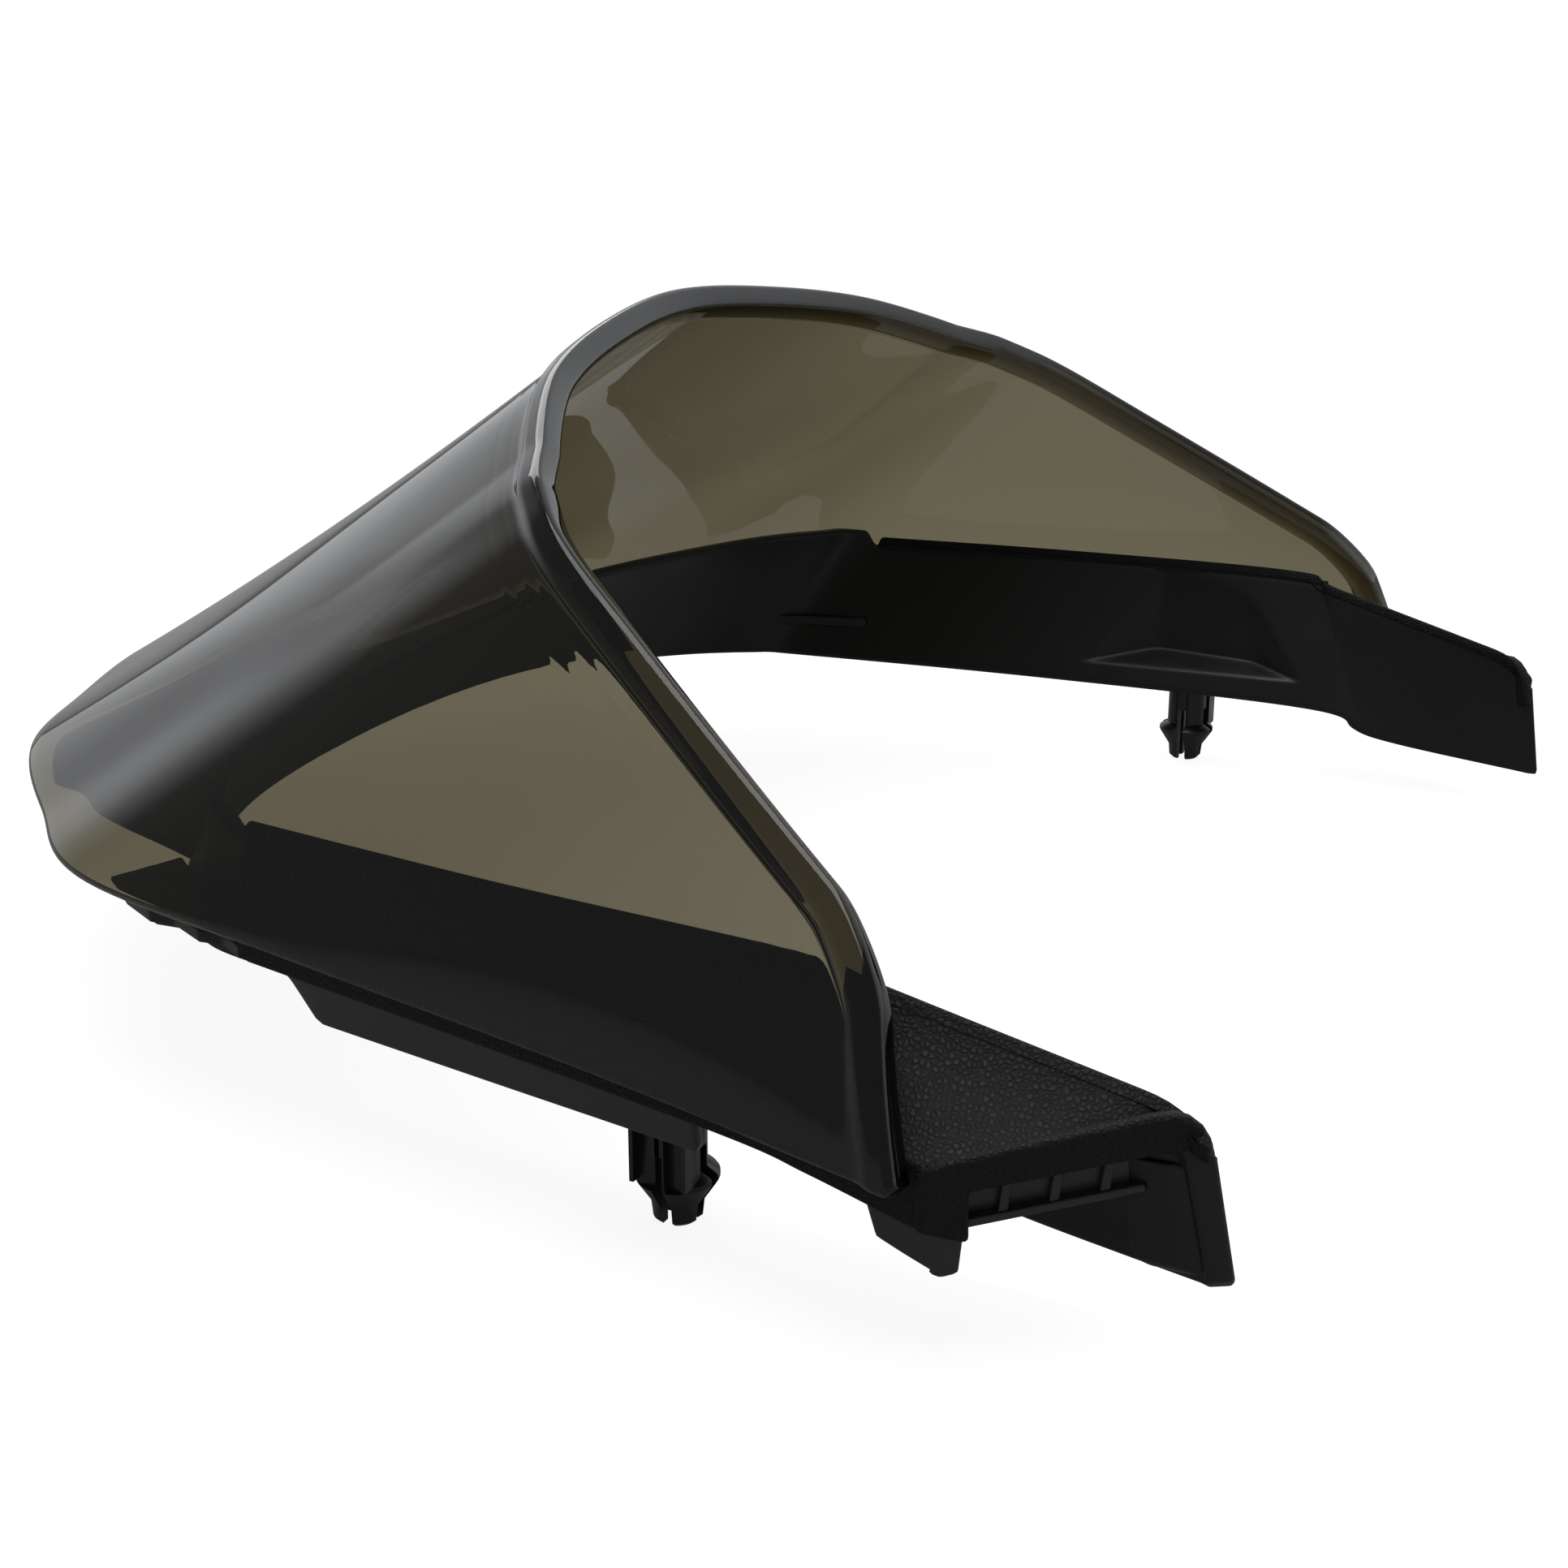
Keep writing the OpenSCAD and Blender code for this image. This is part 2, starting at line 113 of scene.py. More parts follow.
def curve(points, t, both=False):
    """Smooth curve through the points for t from 0 to 1; both continues it across X = 0."""
    p = np.array(points, float)
    sign = np.array([-1.0] + [1.0] * (p.shape[1] - 1))
    before = p[1] * sign if both else 2 * p[0] - p[1]
    k = np.vstack([before, p, 2 * p[-1] - p[-2]])
    s = np.clip(np.asarray(t, float), 0, 1) * (len(p) - 1)
    i = np.minimum(s.astype(int), len(p) - 2)
    f = (s - i)[..., None]
    a, b, c, d = k[i], k[i + 1], k[i + 2], k[i + 3]
    return b + 0.5 * f * (c - a + f * (2 * a - 5 * b + 4 * c - d + f * (3 * b - a - 3 * c + d)))


def smooth(t):
    """Soft step from 0 to 1."""
    t = np.clip(t, 0, 1)
    return t * t * (3 - 2 * t)


def mirrored(points):
    return points * np.array([-1.0, 1.0, 1.0])


def whole(half):
    """Rows of points across the object from the rows of its +X half."""
    return np.concatenate([mirrored(half[:0:-1]), half])


def facing_from(normals, points, centre):
    """The normals, turned so that they point away from the centre."""
    return normals * np.sign(np.sum(normals * (points - centre), -1, keepdims=True))


END_ALONG = unit(END_INNER - END_CORNER)
END_OUTWARD = np.array([END_ALONG[1], -END_ALONG[0]])


# ---------------------------------------------------------------- mesh helpers

def plain_object(name, verts, faces):
    """An object from points in millimetres."""
    mesh = bpy.data.meshes.new(name)
    mesh.from_pydata((np.asarray(verts) * MM).tolist(), [], [list(map(int, f)) for f in faces])
    mesh.update()
    obj = bpy.data.objects.new(name, mesh)
    bpy.context.scene.collection.objects.link(obj)
    return obj


def piece(name, verts, faces, material, slot, node, body="root"):
    """A smooth-shaded closed piece that rides on the body and stands for the node."""
    obj = plain_object(name, verts, faces)
    obj.data.shade_smooth()
    obj.data.materials.append(material)
    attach(obj, body)
    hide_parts(node)
    turn_outward(obj)
    return obj


def quads(index):
    """Faces of a grid of vertex numbers."""
    a, b, c, d = index[:-1, :-1], index[:-1, 1:], index[1:, 1:], index[1:, :-1]
    return np.stack([a, b, c, d], -1).reshape(-1, 4)


def border(m, n):
    """Grid places (i, j) once round the edge."""
    return ([(i, 0) for i in range(m - 1)] + [(m - 1, j) for j in range(n - 1)]
            + [(i, n - 1) for i in range(m - 1, 0, -1)] + [(0, j) for j in range(n - 1, 0, -1)])


def shell(outer, inner, radius, steps=4):
    """Closed mesh between two equal grids whose cut edge is rounded by the radius."""
    m, n = outer.shape[:2]
    top = np.arange(m * n).reshape(m, n)
    ring = border(m, n)
    rows = np.array([i for i, _ in ring])
    cols = np.array([j for _, j in ring])
    o, w = outer[rows, cols], inner[rows, cols]
    mid, half = (o + w) / 2, (o - w) / 2
    thick = np.linalg.norm(half, axis=1, keepdims=True)
    r = np.minimum(radius, thick)
    tangent = unit(np.roll(mid, -1, 0) - np.roll(mid, 1, 0))
    out = unit(np.cross(tangent, half))
    inside = outer[np.clip(rows, 1, m - 2), np.clip(cols, 1, n - 2)]
    out *= np.sign(np.sum(out * (o - inside)))
    angles = [math.pi / 2 * k / steps for k in range(1, steps + 1)]
    rings = []
    for a in angles:
        rings.append(mid + half * (1 - r / thick * (1 - math.cos(a))) + out * r * math.sin(a))
    for a in reversed(angles):
        rings.append(mid - half * (1 - r / thick * (1 - math.cos(a))) + out * r * math.sin(a))
    verts = np.vstack([outer.reshape(-1, 3), inner.reshape(-1, 3)] + rings)
    count = len(ring)
    loops = [top[rows, cols]]
    loops += [2 * m * n + k * count + np.arange(count) for k in range(len(rings))]
    loops += [top[rows, cols] + m * n]
    belt = np.stack(loops)
    belt = np.hstack([belt, belt[:, :1]])
    faces = np.vstack([quads(top), quads(top)[:, ::-1] + m * n, quads(belt)])
    return verts, faces


def turn_outward(obj):
    """Makes every face of a closed mesh point outward."""
    bm = bmesh.new()
    bm.from_mesh(obj.data)
    bmesh.ops.recalc_face_normals(bm, faces=bm.faces)
    bm.to_mesh(obj.data)
    bm.free()


def grid_normals(g):
    du = np.gradient(g, axis=0)
    dv = np.gradient(g, axis=1)
    return unit(np.cross(du, dv))


def soften(obj, width, segments=3, angle=30):
    """Rounds the sharp edges of a piece."""
    mod = obj.modifiers.new("soft_edges", "BEVEL")
    mod.width = width * MM
    mod.segments = segments
    mod.limit_method = "ANGLE"
    mod.angle_limit = math.radians(angle)
    mod.harden_normals = True


def pair(name, mesh, material, slot, node, *rounding, shared=False):
    """The left piece and its mirror image; shared if both stand for one node."""
    verts, faces = mesh
    for side, points in (("left", verts), ("right", mirrored(verts))):
        stands_for = node if shared else f"{node}_{side}"
        obj = piece(f"{name}_{side}", points, faces, material, slot, stands_for)
        if rounding:
            soften(obj, *rounding)


# ---------------------------------------------------------------- materials

def material(name, color, roughness, **sockets):
    mat = bpy.data.materials.new(name)
    mat.use_nodes = True
    shader = mat.node_tree.nodes["Principled BSDF"]
    shader.inputs["Base Color"].default_value = (*color, 1)
    shader.inputs["Roughness"].default_value = roughness
    for key, value in sockets.items():
        shader.inputs[key.replace("_", " ")].default_value = value
    return mat, mat.node_tree, shader


def add_node(tree, kind, inputs=None, **settings):
    node = tree.nodes.new(kind)
    for key, value in settings.items():
        setattr(node, key, value)
    for key, value in (inputs or {}).items():
        node.inputs[key].default_value = value
    return node


def object_place(tree):
    return add_node(tree, "ShaderNodeTexCoord").outputs["Object"]


def bump(tree, height, strength, distance, normal=None):
    node = add_node(tree, "ShaderNodeBump", {"Strength": strength, "Distance": distance})
    tree.links.new(height, node.inputs["Height"])
    if normal is not None:
        tree.links.new(normal, node.inputs["Normal"])
    return node.outputs["Normal"]


def noise(tree, scale, detail=3.0, roughness=0.55):
    node = add_node(tree, "ShaderNodeTexNoise",
                    {"Scale": scale, "Detail": detail, "Roughness": roughness})
    tree.links.new(object_place(tree), node.inputs["Vector"])
    return node.outputs["Fac"]


def remap(tree, value, low, high, to_low, to_high):
    node = add_node(tree, "ShaderNodeMapRange",
                    {"From Min": low, "From Max": high, "To Min": to_low, "To Max": to_high})
    tree.links.new(value, node.inputs["Value"])
    return node.outputs["Result"]


def smoked_material():
    """Polished smoked polycarbonate, tinted through its depth."""
    mat, tree, shader = material("smoked_polycarbonate", (1, 1, 1), 0.012, IOR=1.55,
                                 Transmission_Weight=1.0)
    depth = add_node(tree, "ShaderNodeVolumeAbsorption",
                     {"Color": (0.253, 0.211, 0.048, 1), "Density": 830.0})
    out = tree.nodes["Material Output"]
    tree.links.new(depth.outputs["Volume"], out.inputs["Volume"])
    smear = remap(tree, noise(tree, 14.0, 2.0), 0.3, 0.8, 0.002, 0.008)
    tree.links.new(smear, shader.inputs["Roughness"])
    return mat


def grained_material():
    """Black plastic with a leather grain: rounded cells about a millimetre across."""
    mat, tree, shader = material("grained_black_plastic", (0.0075, 0.0075, 0.0085), 0.55,
                                 Specular_IOR_Level=0.3)
    cells = add_node(tree, "ShaderNodeTexVoronoi", {"Scale": 1150.0, "Randomness": 0.8},
                     feature="DISTANCE_TO_EDGE")
    tree.links.new(object_place(tree), cells.inputs["Vector"])
    pebble = remap(tree, cells.outputs["Distance"], 0.0, 0.3, 0.0, 1.0)
    fine = bump(tree, noise(tree, 5200.0, 2.0), 0.2, 0.00005)
    tree.links.new(bump(tree, pebble, 0.7, 0.00016, fine), shader.inputs["Normal"])
    shine = remap(tree, cells.outputs["Distance"], 0.0, 0.3, 0.7, 0.5)
    tree.links.new(shine, shader.inputs["Roughness"])
    return mat


def moulded_material(name, color, rough, grain, specular=0.5):
    """Smooth moulded plastic with a faint spark-eroded surface and slight sheen changes."""
    mat, tree, shader = material(name, color, rough, Specular_IOR_Level=specular)
    tone = add_node(tree, "ShaderNodeMix", data_type="RGBA")
    tone.inputs["A"].default_value = (*[c * 0.86 for c in color], 1)
    tone.inputs["B"].default_value = (*[c * 1.14 for c in color], 1)
    tree.links.new(noise(tree, 60.0, 4.0), tone.inputs["Factor"])
    tree.links.new(tone.outputs["Result"], shader.inputs["Base Color"])
    sheen = remap(tree, noise(tree, 35.0, 3.0), 0.3, 0.7, rough - 0.06, rough + 0.06)
    tree.links.new(sheen, shader.inputs["Roughness"])
    tree.links.new(bump(tree, noise(tree, 3600.0, 2.0), grain, 0.00005),
                   shader.inputs["Normal"])
    return mat


def screw_material():
    """Black coated steel."""
    mat, tree, shader = material("black_coated_steel", (0.05, 0.05, 0.052), 0.35, Metallic=0.9)
    tree.links.new(bump(tree, noise(tree, 2500.0, 2.0), 0.2, 0.00004), shader.inputs["Normal"])
    return mat


# ---------------------------------------------------------------- screen

def arch_points(u):
    a = curve(ARCH, u, True)
    drop = a[..., 1] * ARCH_DROP
    return np.stack([a[..., 0] * HALF_W, ARCH_Y + drop * math.cos(ARCH_TILT),
                     ARCH_TOP - drop * math.sin(ARCH_TILT)], -1)


def edge_points(u):
    e = curve(EDGE, u, True)
    y = NOSE_Y + e[..., 1] * EDGE_LENGTH
    return np.stack([e[..., 0] * HALF_W, y, EDGE_REAR_Z + EDGE_RISE * (REAR_Y - y)], -1)


def crease_line(v):
    """Place across the screen of the styling line at that height."""
    return 0.357 + 0.25 * np.clip(0.968 - v, 0, 0.34) - 0.05 * smooth((0.62 - v) / 0.4)


def styling(u, v):
    """Height of the valley along the styling line and of the flat wedge in front of it."""
    off = np.abs(u - crease_line(v)) / CREASE_REACH
    valley = CREASE_DEPTH * smooth((v - 0.45) / 0.3) * np.clip(1 - off, 0, 1) ** 1.5
    middle = 0.46 + 0.12 * (0.5 - v)
    wedge = WEDGE_DEPTH * smooth((0.62 - v) / 0.3) * np.exp(-((u - middle) / WEDGE_REACH) ** 2)
    return -(valley + wedge)


def ruled(u, v):
    """Straight lines from the lower edge up to the arch."""
    low, high = edge_points(u), arch_points(u)
    return low + (high - low) * v[..., None]


def screen_half(u, v):
    """Points of the +X half of the outer skin before the lip is added."""
    before, after = ruled(np.maximum(0, u - 0.01), v), ruled(np.minimum(1, u + 0.01), v)
    n = unit(np.cross(after - before, arch_points(u) - edge_points(u)))
    rise = 4 * v * (1 - v) * curve(CROWN, u)[..., 0] + styling(u, v)
    return ruled(u, v) + rise[..., None] * n


def screen_normals(u, v):
    e = 0.004
    du = screen_half(np.minimum(1, u + e), v) - screen_half(np.maximum(0, u - e), v)
    dv = screen_half(u, v + e) - screen_half(u, v - e)
    return unit(np.cross(du, dv))


def bend_height(u):
    """How far up the screen reaches: its upper rear corner is an elliptic bend."""
    off = np.maximum(0, u - (1 - BEND_U)) / BEND_U
    return 1 - BEND_V * (1 - np.sqrt(np.clip(1 - off ** 2, 0, 1)))


def distances(points, line):
    """Distance of every point from a line of points."""
    flat = points.reshape(-1, 3)
    far = np.full(len(flat), np.inf)
    for start, end in zip(line[:-1], line[1:]):
        side = end - start
        share = np.clip((flat - start) @ side / max(side @ side, 1e-9), 0, 1)
        far = np.minimum(far, np.linalg.norm(flat - start - share[:, None] * side, axis=1))
    return far.reshape(points.shape[:2])


def build_screen():
    """Screen with its styling line, rolled rim and the two fine lines along it."""
    bend = np.linspace(0, math.pi / 2, 26)
    across = np.concatenate([np.linspace(0, 1 - BEND_U, 130)[:-1],
                             1 - BEND_U + BEND_U * np.sin(bend)])
    up = np.concatenate([np.linspace(0, 0.86, 50)[:-1], np.linspace(0.86, 1, 34)])
    a = np.repeat(across[:, None], len(up), 1)
    t = np.repeat(up[None, :], len(across), 0)
    v = t * bend_height(a)
    # The columns follow the styling line, so that it stays crisp.
    pull = np.clip(1 - ((a - CREASE_AT) / 0.3) ** 2, 0, 1) ** 2
    u = a + (crease_line(v) - CREASE_AT) * pull
    v = t * bend_height(u)
    skin = whole(screen_half(u, v))
    normal = facing_from(whole(screen_normals(u, v)), skin, np.array([0, 0, 30.0]))
    # The lip is rolled along the rear outline: up one side, over the arch and down the other.
    outline = np.concatenate([skin[0, ::-1][:0:-1], skin[:, -1], skin[-1, -2::-1]])
    far = distances(skin, outline)
    lip = LIP_OUT * (1 - smooth((far - LIP_FULL) / (LIP_WIDTH - LIP_FULL)))
    for groove in GROOVES:
        lip = lip - GROOVE_DEPTH * np.exp(-((far - groove) / GROOVE_WIDTH) ** 2)
    rolled = LIP_IN * (1 - smooth((far - LIP_IN_FULL) / LIP_IN_RUN))
    outer = skin + normal * lip[..., None]
    inner = skin - normal * (SCREEN_T + rolled)[..., None]
    piece("screen_shell", *shell(outer, inner, 1.4, 5), SMOKED, "smoked_screen", "screen")


# ---------------------------------------------------------------- frame

POCKET_TOP, POCKET_FLOOR = 45.5, 24.0       # heights
POCKET_FRONT, POCKET_REAR = (45.4, -14.4), (65.5, 17.5)     # Y at the top, and change below
POCKET_BACK, POCKET_LEAN = 130.6, 1.2       # X of its back at the floor, and lean to the top
POCKET_FROM = 0.45                          # share of the wall before which there is none
POCKET_SLOPE, FLOOR_SLOPE = 0.5, 2.2        # steepness of its ends and of its floor
POCKET_SOFT = 0.3                           # rounding where these faces meet


def wall_face(s, j):
    rim, low = curve(RIM, s, True), curve(FOOT, s, True)
    return low + (rim - low) * j[..., None]


def pocket_depth(p):
    """How far the arm's inner face is pushed out inside the wedge-shaped pocket."""
    x, y, z = p[..., 0], p[..., 1], p[..., 2]
    share = (POCKET_TOP - z) / (POCKET_TOP - POCKET_FLOOR)
    front = (y - (POCKET_FRONT[0] + POCKET_FRONT[1] * share)) * POCKET_SLOPE
    rear = ((POCKET_REAR[0] + POCKET_REAR[1] * share) - y) * POCKET_SLOPE
    back = POCKET_BACK + POCKET_LEAN * (1 - share) - x
    floor = (z - POCKET_FLOOR) * FLOOR_SLOPE
    # The least of the four, blended softly at the pocket's edges.
    parts = np.stack([front, rear, back, floor]) / POCKET_SOFT
    least = -np.log(np.sum(np.exp(-parts), axis=0))
    return POCKET_SOFT * np.log1p(np.exp(np.clip(least, -30, 30)))


def build_frame():
    """Front crossbar and both arms' inner walls, with their pockets."""
    s = np.concatenate([np.linspace(0, ARM_START, 60)[:-1], np.linspace(ARM_START, 1, 190)])
    j = np.linspace(0, 1, 64)
    ss, jj = np.meshgrid(s, j, indexing="ij")
    rim, low = curve(RIM, ss, True), curve(FOOT, ss, True)
    # The arms' walls stop under the covers' lips, and lower still at their rear corners.
    sunk = (LIP_DROP + GAP) * smooth((ss - 0.47) / 0.03)
    sunk += 3.4 * np.clip((ss - 0.97) / 0.03, 0, 1) ** 2
    top = 1 - sunk / np.maximum(rim[..., 2] - low[..., 2], 1)
    # The wall's outer side ends on the arm's slanted end plane.
    slant = 0.0115 * smooth((ss - 0.86) / 0.14)
    sides = []
    for face in (wall_face(ss, jj * top), wall_face(ss - slant, jj * top)):
        face[..., 0] += np.where(ss > POCKET_FROM, pocket_depth(face), 0)
        sides.append(whole(face))
    inner, back = sides
    normal = facing_from(grid_normals(back), back, np.array([0, 60.0, 35.0]))
    mesh = shell(back + normal * FRAME_T, inner, 0.9, 4)
    piece("frame_wall", *mesh, FRAME_PLASTIC, "matte_frame", "frame")


def prism(outline, low, high):
    """Upright prism over a plan outline."""
    n = len(outline)
    verts = [(x, y, low) for x, y in outline] + [(x, y, high) for x, y in outline]
    faces = [list(range(n))[::-1], list(range(n, 2 * n))]
    faces += [[i, (i + 1) % n, n + (i + 1) % n, n + i] for i in range(n)]
    return np.array(verts, float), faces


def level_side(a, b):
    """Level unit vectors to the right of the way from a to b."""
    d = b - a
    return unit(np.stack([d[..., 1], -d[..., 0], 0 * d[..., 0]], -1))


PANEL_END = (0.28, 0.45)    # where the panel ends along the wall and along the screen's edge
PANEL_LOW = 0.2             # share of the wall's height where it starts
PANEL_IN = (1.4, 5.5)       # how far it reaches into the wall and stays off the edge
PANEL_DROP, PANEL_T = 3.5, 2.0


def build_nose_panel():
    """Panel under the nose, from the front wall forward to just inside the screen's edge."""
    k = np.linspace(0, 1, 60)
    s, u = PANEL_END[0] * k, PANEL_END[1] * k
    low, edge = curve(FOOT, s, True), edge_points(u)
    into_wall = PANEL_IN[0] * level_side(low, curve(FOOT, s + 0.01, True))
    off_edge = PANEL_IN[1] * level_side(edge, edge_points(u + 0.01))
    back = low + (curve(RIM, s, True) - low) * PANEL_LOW + into_wall
    front = edge - off_edge - np.array([0, 0, PANEL_DROP])
    t = np.linspace(0, 1, 24)[None, :, None]
    under = whole(back[:, None] * (1 - t) + front[:, None] * t)
    normal = grid_normals(under)
    normal *= np.sign(normal[..., 2:])
    mesh = shell(under + normal * PANEL_T, under, 0.7, 3)
    piece("nose_panel", *mesh, FRAME_PLASTIC, "matte_frame", "frame")


LEDGE = [[100, -63.5], [114, -68], [120, -60], [124.5, -51], [124, -46], [128, -37.5],
         [127.4, -33], [131, -26.5], [116.5, -26.5], [113, -42], [106.5, -55]]
LEDGE_PAD = [[114.5, -55], [120, -58], [123, -51], [122.6, -46], [125, -39], [120, -39]]
PIN_SEAT = [[123.4, 46], [138.8, 46], [138.8, 64], [123.4, 64]]
SCREW_WEB = [[131.2, 74], [137, 74], [137, 78], [131.2, 78]]


def build_frame_details():
    """Stepped corner ledges, the plates the pins are pressed into, and the screw webs."""
    for name, outline, low, high, rounding in (("corner_ledge", LEDGE, 27, 29.4, 0.5),
                                               ("corner_step", LEDGE_PAD, 26, 27.2, 0.5),
                                               ("pin_seat", PIN_SEAT, 20, 22, 0.4),
                                               ("screw_web", SCREW_WEB, 30.4, 35.4, 0.3)):
        pair(name, prism(outline, low, high), FRAME_PLASTIC, "matte_frame", "frame",
             rounding, shared=True)


# ---------------------------------------------------------------- covers

def end_place(k, z, out):
    """Point on the arm's slanted end: k along it from the outer corner, z up."""
    xy = END_CORNER + END_ALONG * k + END_OUTWARD * out
    return np.array([xy[0], xy[1], z])


CORNER_DROP = 3.2                       # how far the deck's corner is lowered
CORNER_BACK = 7                         # how far forward of the end that reaches
CORNER_FROM, CORNER_RUN = 31, 8.5       # where along the end it starts, and over what length


def lowered_corner(points):
    """Rounds the deck's inner end corner down toward the end band."""
    rel = points[..., :2] - END_CORNER
    near_end = np.clip(1 + (rel @ END_OUTWARD) / CORNER_BACK, 0, 1)
    near_rim = np.clip((rel @ END_ALONG - CORNER_FROM) / CORNER_RUN, 0, 1)
    drop = CORNER_DROP * near_end ** 2 * near_rim ** 2
    return points - drop[..., None] * np.array([0, 0, 1.0])


def filleted(path, radii, steps=6):
    """Rows of points along paths whose inner corners are rounded by the radii."""
    rows = [path[:, 0]]
    for i in range(1, path.shape[1] - 1):
        p = path[:, i]
        back, on = path[:, i - 1] - p, path[:, i + 1] - p
        back_length = np.linalg.norm(back, axis=1, keepdims=True)
        on_length = np.linalg.norm(on, axis=1, keepdims=True)
        back, on = back / back_length, on / on_length
        angle = np.arccos(np.clip(np.sum(back * on, axis=1), -1, 1))[:, None]
        cut = radii[i - 1] / np.tan(angle / 2)
        cut = np.minimum(cut, 0.48 * np.minimum(back_length, on_length))
        for t in np.linspace(0, 1, steps + 1):
            rows.append(p + back * cut * (1 - t) ** 2 + on * cut * t ** 2)
    rows.append(path[:, -1])
    return np.stack(rows, 1)


def build_cover():
    """Skin of one arm's cover: inner lip, rounded rim, sloping deck and outer strip."""
    t = np.linspace(0, 1, 110)
    rim, low = curve(RIM_ARM, t), curve(FOOT_ARM, t)
    deck, strip = curve(DECK, t), curve(STRIP, t)
    lip = rim + (low - rim) * (LIP_DROP / (rim[:, 2:] - low[:, 2:]))
    rim_radius = (2.4 + 3.2 * smooth((t - 0.93) / 0.07))[:, None]
    path = np.stack([lip, rim, (rim + deck) / 2, deck, strip], 1)
    skin = lowered_corner(filleted(path, [rim_radius, 1.0, 1.1]))
    normal = facing_from(grid_normals(skin), skin, ((low + strip) / 2)[:, None])
    return shell(skin, skin - normal * COVER_T, 0.6, 3)


# Outlines on the arm's slanted end: along it from the outer corner, and up.
END_OUT = 1.6               # how far the end band stands out
ALONG_WALL = 1.535          # slide that makes a plate's sides run along the arm's wall
BAND = [[-0.4, 27.9], [0.4, 28.6], [7.1, 29.9], [16, 31.5], [25, 33.1], [31.6, 34.3],
        [34.6, 34.5], [36.8, 33.7], [38.6, 32.2], [39.7, 30.4], [40.3, 28.4], [41.3, 24.1],
        [36.5, 23.3], [35.3, 27.6], [34.3, 28.6], [26, 27.4], [19, 26.2], [6.9, 24.4],
        [7.1, 16.8], [5.0, 17.3], [-0.4, 18.9]]
END_LEG = [[34.6, 27], [40.6, 26.5], [41.3, 23.6], [44.3, 9.6], [39.1, 9.6], [37.3, 10.6],
           [35.9, 13.8]]


def plate_on_end(outline, out, thick, slide=0.0):
    """Prism on the arm's slanted end, from its outer face inward; slide slants its sides."""
    n = len(outline)
    verts = [end_place(k, z, out) for k, z in outline]
    verts += [end_place(k - slide * thick, z, out - thick) for k, z in outline]
    faces = [list(range(n)), list(range(2 * n - 1, n - 1, -1))]
    faces += [[i, n + i, n + (i + 1) % n, (i + 1) % n] for i in range(n)]
    return np.array(verts), faces


def build_covers():
    pair("grained_cover", build_cover(), GRAINED, "grained_cover", "cover")
    band = plate_on_end(BAND, END_OUT, 2.4)
    pair("end_band", band, GRAINED, "grained_cover", "cover", 1.0, 4, 40)
    leg = plate_on_end(END_LEG, END_OUT - 0.3, 4.0, ALONG_WALL)
    pair("end_leg", leg, FRAME_PLASTIC, "matte_frame", "frame", 0.7, shared=True)


# ---------------------------------------------------------------- skirts and feet

SKIRT_REACH = (0.05, 0.46)          # where it starts and ends along the strip
SKIRT_FOOT = (20.6, 19.0)           # height of its lower edge at both ends
SKIRT_SLANT = 0.075                 # share of its length that the slanted front end takes
SKIRT_TUCK = 0.8                    # how far its lower edge is tucked in


def build_skirt():
    """Smooth panel below the grained strip, with a slanted front end."""
    k = np.linspace(0, 1, 60)
    top = curve(STRIP, SKIRT_REACH[0] + (SKIRT_REACH[1] - SKIRT_REACH[0]) * k)
    top = top - np.array([0.5, 0, 0.3])
    low = SKIRT_FOOT[0] + (SKIRT_FOOT[1] - SKIRT_FOOT[0]) * k
    foot = top[:, 2] - 1 + (low - top[:, 2] + 1) * np.minimum(1, k / SKIRT_SLANT)
    rows = []
    for j in np.linspace(0, 1, 12):
        p = top.copy()
        p[:, 2] = foot + (top[:, 2] - foot) * j
        p[:, 0] -= SKIRT_TUCK * (1 - j) ** 1.5
        rows.append(p)
    outer = np.stack(rows, 1)
    n = grid_normals(outer)
    n *= np.sign(n[..., :1])
    mesh = shell(outer, outer - n * COVER_T, 0.7, 3)
    # The skirt's lighter grey is painted light on the frame's black plastic.
    pair("skirt_panel", mesh, PAINTED_LIT_PLASTIC, "grey_skirt", "skirt")


LEG_X = 149.2               # X of the outer leg's flat side
BEAM = [[6.6, 18.2], [31.6, 22.2], [31.0, 27.4], [6.6, 24.6]]
BEAM_LEDGE = [[6.6, 18.2], [31.6, 22.2], [31.4, 23.4], [6.6, 19.5]]
RIB_PLACES = (11.2, 18.2, 25.2)


def outer_leg():
    """The foot's smooth outer leg, which turns the corner under the grained strip."""
    top = [[LEG_X, 94.6, 21.2], [LEG_X, 99, 20.2], [LEG_X + 0.3, 102.4, 19.0],
           end_place(3.0, 17.9, 1.2), end_place(5.6, 17.3, 1.2)]
    low = [[LEG_X, 96.2, 16.2], [LEG_X, 100.4, 14.5], [LEG_X, 104.6, 12.9],
           end_place(3.4, 12.4, 1.0), end_place(5.2, 12.7, 1.0)]
    t = np.linspace(0, 1, 48)
    j = np.linspace(0, 1, 16)[None, :, None]
    outer = curve(top, t)[:, None] * j + curve(low, t)[:, None] * (1 - j)
    n = grid_normals(outer)
    n *= np.sign(np.sum(n * np.array([0.8, 0.5, 0.0]), -1, keepdims=True))
    return shell(outer, outer - n * COVER_T, 0.7, 3)


